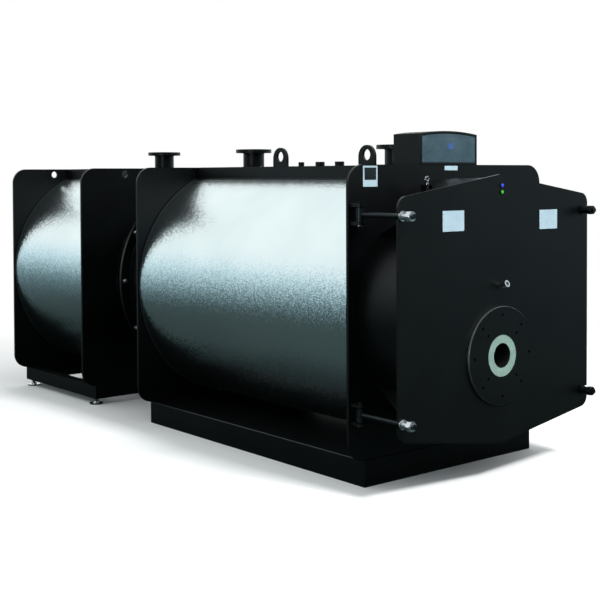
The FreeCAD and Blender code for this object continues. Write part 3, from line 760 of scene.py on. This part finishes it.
dress(black_enamel, "door_plate", "door_drum", "door_gussets")
fibre = surface("vacuum_formed_ceramic_fibre", "cfd4cb", "e6e9e2", 45.0, 0.88, 2.5, 0.0012)
dress(fibre, "door_lining")
# The refractory ring's pale fibre is darkened to teal grey as painted shade.
refractory_fibre_painted_shade = surface("refractory_fibre_with_painted_shade", "7d978d", "90aaa0", 60.0, 0.88, 2.5, 0.0008)
dress(refractory_fibre_painted_shade, "refractory_ring")
door_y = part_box("door_plate")[0][1]
door_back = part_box("door_drum")[0][1]
drum_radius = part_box("door_drum")[1][0]
lining_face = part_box("door_lining")[1][1]
keep(weld_ring(drum_radius + 0.001, DRUM_BEAD, (0, door_back + 0.003, axis_z), TO_REAR),
     "door_drum_weld", black_enamel, "door")


def woven_rope():
    """Twill of knitted glass yarn, really 2 mm wide, drawn at 6 mm so that it shows."""
    material, tree, output = new_material("knitted_glass_rope")
    place = add(tree, "TexCoord").outputs["Object"]
    turned_place = add(tree, "Mapping", {"Vector": place, "Rotation": (0.0, math.radians(45), 0.0)})
    yarn = add(tree, "TexWave", {"Vector": turned_place.outputs["Vector"], "Scale": 52.0,
                                 "Distortion": 1.5}, bands_direction="X")
    tone = two_tones(tree, yarn.outputs["Fac"], 0.2, 0.8, "8f8c80", "d3cfbf")
    bump = add(tree, "Bump", {"Height": yarn.outputs["Fac"], "Strength": 0.6, "Distance": 0.001})
    shader = add(tree, "BsdfPrincipled", {"Base Color": tone, "Roughness": 0.85,
                                          "Normal": bump.outputs["Normal"]})
    tree.links.new(shader.outputs["BSDF"], output.inputs["Surface"])
    return material


rope = ring(drum_radius - 0.032, drum_radius - 0.058, 0.0008, (0, lining_face - 0.0001, axis_z),
            TO_REAR, 0.0002, 160)
keep(rope, "door_rope_seal", woven_rope(), "door")
ANCHOR_CIRCLE = 0.56
CHAMBER_DEPTH = 0.120
anchor = disc(0.020, 0.0025, (ANCHOR_CIRCLE, lining_face - CHAMBER_DEPTH, axis_z), TO_REAR,
              0.0008, 32)
stud = disc(0.005, 0.007, (ANCHOR_CIRCLE, lining_face - CHAMBER_DEPTH + 0.001, axis_z), TO_REAR,
            0.0010, 16)
anchors = repeated(joined([anchor, stud]), round_axis(10, (0, 0, axis_z), TO_REAR, 18))
keep(anchors, "lining_anchor_washers", stainless, "door")

GUSSET_HALF = 0.0085
GUSSET_REACH = 0.034
gusset_welds = []
for level in LEVELS:
    for hand in HANDS:
        nut_low, nut_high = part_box("tie_nut_%s_%s" % (level, hand))
        rod_x = (nut_low[0] + nut_high[0]) / 2
        rod_z = (nut_low[2] + nut_high[2]) / 2
        to_rod = Vector((rod_x, 0, rod_z - axis_z))
        way = to_rod.normalized()
        across = Vector((-way.z, 0, way.x))
        reach = to_rod.length - 0.032
        for side in (-1, 1):
            foot = Vector((0, door_back + 0.001, axis_z))
            root = foot + way * (drum_radius + 0.004) + across * side * GUSSET_HALF
            tip = foot + way * reach + across * side * GUSSET_HALF
            back = root + Vector((0, -GUSSET_REACH - door_back + front_y, 0))
            gusset_welds += [weld_line(root, tip, 0.0035), weld_line(root, back, 0.0035)]
keep(joined(gusset_welds), "gusset_welds", black_enamel, "door")


# ---- Lamps, films and sight glass on the door ------------------------------------------------
# Two panel lamps with turned bezels, two bare polyester films with faint printed rules, and the
# glass at the end of the sight tube, held by a turned ring.

def lit_lens(name, glow, core):
    """Coloured acrylic lens, lit from behind by its lamp."""
    material, tree, output = new_material(name)
    place = add(tree, "TexCoord").outputs["Object"]
    flutes = add(tree, "TexNoise", {"Vector": place, "Scale": 400.0})
    tone = two_tones(tree, flutes.outputs["Fac"], 0.2, 0.9, glow, core)
    shader = add(tree, "BsdfPrincipled", {"Base Color": srgb(glow), "Roughness": 0.12,
                                          "Emission Color": tone, "Emission Strength": 0.38})
    tree.links.new(shader.outputs["BSDF"], output.inputs["Surface"])
    return material


LAMP_X = 0.014
bezels = []
for lamp_z, name, glow, core in ((1.866, "blue", "1c34d0", "6f86ff"),
                                 (1.824, "green", "1f9418", "7be26a")):
    foot = (LAMP_X, door_y + 0.0002, lamp_z)
    bezels.append(ring(0.0150, 0.0105, 0.006, foot, TO_FRONT, 0.0016, 48))
    lens = step_face(turned(0.0108, 0.0085, foot, TO_FRONT, 32), TO_FRONT, 0.004, 0.0014)
    acrylic = lit_lens("%s_acrylic_lens" % name, glow, core)
    keep(soften(lens, 0.0012, 3), "lamp_lens_" + name, acrylic, "door")
keep(joined(bezels), "lamp_bezels", black_rubber, "door")

FILM_HEIGHT = 0.126
FILM_MARGIN = 0.014
RULE_PITCH = 0.0138
rules = []
for place, low_x, high_x, low_z in (("left", -0.525, -0.335, 1.590),
                                    ("right", 0.388, 0.570, 1.577)):
    film(low_x, high_x, low_z, low_z + FILM_HEIGHT, door_y, "door_film_" + place, white_film,
         "door")
    rule = block((low_x + FILM_MARGIN, door_y - 0.0009, low_z + FILM_MARGIN),
                 (high_x - FILM_MARGIN, door_y - 0.0005, low_z + FILM_MARGIN + 0.002))
    rows = shifts(*[(0, 0, i * RULE_PITCH) for i in range(8)])
    rules.append(repeated(soften(rule, 0.0001, 1), rows))
pale_rule = surface("pale_blue_printed_rule", "aebcc8", "bccad4", 60.0, 0.45, 1.5, 0.00002)
keep(joined(rules), "door_film_rules", pale_rule, "door")

dress(zinc, "sight_tube")
SIGHT_RISE = 0.145
SIGHT_LENGTH = 0.0605
tilt = math.radians(20)
sight_way = Vector((0, -math.cos(tilt), math.sin(tilt)))
sight_tip = Vector((0, door_y, axis_z + SIGHT_RISE)) + sight_way * SIGHT_LENGTH
keep(ring(0.0192, 0.0125, 0.0026, sight_tip, sight_way, 0.0008, 48), "sight_glass_ring", zinc,
     "door")
sight_glass = disc(0.0127, 0.0020, sight_tip, sight_way, 0.0005, 40)
keep(sight_glass, "sight_glass", dark_print, "door")


# ---- Burner flange ---------------------------------------------------------------------------
# A 20 mm ring flange, enamelled on its face, with its turned rim left as bright steel. The
# refractory ring sits in its bore, its pale fibre darkened to teal grey as painted shade, and a
# sleeve lines the throat, black with soot and with the painted shade of the deep bore.

dress(black_enamel, "burner_flange")
flange_low, flange_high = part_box("burner_flange")
flange_radius = flange_high[0]
turned_steel = surface("bright_turned_steel", "ccd3d4", "e0e6e6", 60.0, 0.36, 1.2, 0.00008,
                       Metallic=1.0)
rim = ring(flange_radius + 0.0006, flange_radius - 0.0010, 0.0190,
           (0, flange_low[1] + 0.0004, furnace_z), TO_REAR, 0.0004, 160)
keep(rim, "burner_flange_rim", turned_steel, "door")
# The sleeve's black is soot and the painted shade of the deep throat.
THROAT_RADIUS = 0.0790
throat = ring(THROAT_RADIUS, THROAT_RADIUS - 0.0025, 0.30, (0, door_y - 0.0150, furnace_z),
              TO_REAR, 0.0008, 96)
keep(throat, "burner_throat_sleeve", soot_and_bore_shade_black, "door")
keep(weld_ring(flange_radius + 0.001, 0.004, (0, door_y - 0.0012, furnace_z), TO_REAR),
     "burner_flange_weld", black_enamel, "door")


# ---- Lifting eye on the door drum ------------------------------------------------------------
# A painted bracket on the drum with a bright eye bolt screwed into it.

dress(black_enamel, "door_lifting_eye")
eye_low, eye_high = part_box("door_lifting_eye")
eye_x = (eye_low[0] + eye_high[0]) / 2
eye_y = (eye_low[1] + eye_high[1]) / 2
eye_ring = weld_ring(0.014, 0.0056, (eye_x, eye_y, eye_high[2] - 0.0190), TO_REAR)
eye_shank = disc(0.0092, 0.050, (eye_x, eye_y, eye_high[2] - 0.0880), (0, 0, 1), 0.0012, 32)
keep(joined([eye_ring, eye_shank]), "door_eye_bolt", zinc, "door")


# ---- Tie rods --------------------------------------------------------------------------------
# Dark grey steel rods with a phosphate finish. The left nuts and sleeves are satin chromed. The
# right ones stand in shade and are given the rods' dark steel as painted shade, and each rod ends
# in three turns of coarse thread.

phosphated_rods_shaded_nuts = surface("phosphate_rod_steel_and_painted_nut_shade", "202527", "32383b", 80.0, 0.34, 2.0, 0.0002,
                     Metallic=0.85)
chrome = surface("satin_chromed_steel", "c4cacd", "d8dddf", 40.0, 0.33, 1.5, 0.00005, Metallic=1.0)
ROD_RADIUS = 0.0158
THREAD_PITCH = 0.0038


def thread(x, tip_y, z):
    """Three turns of a ridge with a pitch of 3.8 mm, from the rod's tip inward."""
    bpy.ops.object.select_all(action="DESELECT")
    bpy.ops.mesh.primitive_circle_add(vertices=3, radius=0.0014, location=(ROD_RADIUS, 0, 0),
                                      rotation=(math.radians(90), 0, 0))
    bpy.ops.object.transform_apply(location=True, rotation=True, scale=True)
    ridge = bpy.context.object
    turns = ridge.modifiers.new("turns", "SCREW")
    turns.angle = math.radians(360)
    turns.iterations = 3
    turns.screw_offset = THREAD_PITCH
    turns.steps = 32
    turns.render_steps = 32
    bpy.ops.object.modifier_apply(modifier="turns")
    bpy.ops.object.mode_set(mode="EDIT")
    bpy.ops.mesh.select_all(action="SELECT")
    bpy.ops.mesh.fill_holes(sides=4)
    bpy.ops.object.mode_set(mode="OBJECT")
    ridge.data.transform(Matrix.Translation((x, tip_y + 0.0016, z))
                         @ Matrix.Rotation(-math.pi / 2, 4, "X"))
    return ridge


for level in LEVELS:
    for hand in HANDS:
        body = "door" if hand == "left" else level + "_right_tie_bolt"
        rod = "tie_rod_%s_%s" % (level, hand)
        nut = "tie_nut_%s_%s" % (level, hand)
        # The right nuts, threads, chamfers and sleeve bands take the dark rod steel as painted
        # shade.
        nut_finish_shaded_right = chrome if hand == "left" else phosphated_rods_shaded_nuts
        dress(phosphated_rods_shaded_nuts, rod)
        dress(nut_finish_shaded_right, nut)
        tip_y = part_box(rod)[0][1]
        nut_low, nut_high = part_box(nut)
        x = (nut_low[0] + nut_high[0]) / 2
        z = (nut_low[2] + nut_high[2]) / 2
        keep(thread(x, tip_y, z), "%s_thread" % rod, nut_finish_shaded_right, body)
        cap = ring(0.0162, 0.0090, 0.0010, (x, tip_y + 0.0012, z), TO_FRONT, 0.0003, 40)
        keep(cap, "%s_chamfer" % rod, nut_finish_shaded_right, body)
        band = ring(0.0242, 0.0200, 0.008, (x, nut_high[1] - 0.018, z), TO_FRONT, 0.0012, 48)
        keep(band, "%s_sleeve_band" % rod, nut_finish_shaded_right, body)


# ---- Camera, light and floor -----------------------------------------------------------------
# A pale studio floor that fades to white, under a soft sky, with a large key light in front and
# a small one on the left, seen from the front left at about standing eye height.

camera_data = bpy.data.cameras.new("camera")
camera_data.sensor_width = 36.0
camera_data.lens = 68.56
camera_data.shift_x = -0.0012
camera_data.shift_y = -0.1598
camera = bpy.data.objects.new("camera", camera_data)
bpy.context.scene.collection.objects.link(camera)
camera.location = (-5.558, front_y - 5.180, 1.934)
camera.rotation_euler = (math.radians(90 - 1.44), math.radians(0.23), math.radians(-39.52))
bpy.context.scene.camera = camera

bpy.ops.mesh.primitive_plane_add(size=80.0, location=(0, 0, 0))
floor = bpy.context.object
floor.name = "floor"
# The floor looks pale itself, and is dim where the object mirrors it, so that the jackets and
# the enamel stay dark below, with a bluish haze far off.
floor_paint, floor_tree, floor_out = new_material("pale_studio_floor")
ray = add(floor_tree, "LightPath")
pale = add(floor_tree, "BsdfDiffuse", {"Color": (0.80, 0.80, 0.80, 1)})
dim = add(floor_tree, "BsdfDiffuse", {"Color": (0.036, 0.050, 0.050, 1)})
far = add(floor_tree, "Emission", {"Color": (1, 1, 1, 1), "Strength": 1.0})
spot = add(floor_tree, "TexCoord").outputs["Object"]
from_middle = add(floor_tree, "VectorMath", {0: spot}, operation="LENGTH")
fade = add(floor_tree, "MapRange", {"Value": from_middle.outputs["Value"], "From Min": 3.2,
                                    "From Max": 6.5})
lit = add(floor_tree, "MixShader", {0: fade.outputs["Result"], 1: pale.outputs["BSDF"],
                                    2: far.outputs["Emission"]})
haze = add(floor_tree, "Emission", {"Color": (0.19, 0.29, 0.32, 1), "Strength": 1.0})
spread = add(floor_tree, "MapRange", {"Value": from_middle.outputs["Value"], "From Min": 4.0,
                                      "From Max": 13.0})
unseen = add(floor_tree, "MixShader", {0: spread.outputs["Result"], 1: dim.outputs["BSDF"],
                                       2: haze.outputs["Emission"]})
shade = add(floor_tree, "MixShader", {0: ray.outputs["Is Camera Ray"], 1: unseen.outputs["Shader"],
                                      2: lit.outputs["Shader"]})
floor_tree.links.new(shade.outputs["Shader"], floor_out.inputs["Surface"])
floor.data.materials.append(floor_paint)

world = bpy.data.worlds.new("studio")
bpy.context.scene.world = world
world.use_nodes = True
sky_tree = world.node_tree
sky_tree.nodes.clear()
sky_out = sky_tree.nodes.new("ShaderNodeOutputWorld")
direction = add(sky_tree, "TexCoord").outputs["Generated"]
toward = add(sky_tree, "VectorMath", {0: direction, 1: (0.20, 0.24, 1.0)}, operation="DOT_PRODUCT")
lifted = add(sky_tree, "Math", {0: toward.outputs["Value"], 1: 0.10}, operation="ADD")
sky = add(sky_tree, "ValToRGB", {"Fac": lifted.outputs["Value"]})
ramp = sky.color_ramp
ramp.elements[0].position = 0.0
ramp.elements[0].color = (0.020, 0.028, 0.030, 1)
ramp.elements[1].position = 0.46
ramp.elements[1].color = (0.97, 1.0, 1.0, 1)
SKY_LEVELS = ((0.08, 0.06), (0.12, 0.20), (0.17, 0.46), (0.24, 0.64), (0.33, 0.86))
for position, level in SKY_LEVELS:
    ramp.elements.new(position).color = (level * 0.74, level * 0.95, level * 1.03, 1)
soft = add(sky_tree, "Background", {"Color": sky.outputs["Color"], "Strength": 1.15})
white = add(sky_tree, "Background", {"Color": (1, 1, 1, 1), "Strength": 1.0})
seen = add(sky_tree, "LightPath")
both = add(sky_tree, "MixShader", {0: seen.outputs["Is Camera Ray"], 1: soft.outputs["Background"],
                                   2: white.outputs["Background"]})
sky_tree.links.new(both.outputs["Shader"], sky_out.inputs["Surface"])


def soft_box(name, size, watts, place, target):
    """A square area light at a place, turned to face a point."""
    data = bpy.data.lights.new(name, "AREA")
    data.size = size
    data.energy = watts
    lamp = bpy.data.objects.new(name, data)
    bpy.context.scene.collection.objects.link(lamp)
    lamp.location = place
    lamp.rotation_euler = (Vector(target) - lamp.location).to_track_quat("-Z", "Y").to_euler()
    return lamp


soft_box("key", 1.8, 1400.0, (0.5, -9.0, 9.2), (0, 0, 1.0)).visible_glossy = False
soft_box("side", 1.2, 45.0, (-7.0, front_y - 1.2, 1.6), (0, front_y, 1.0))
bpy.context.scene.view_settings.view_transform = "Standard"
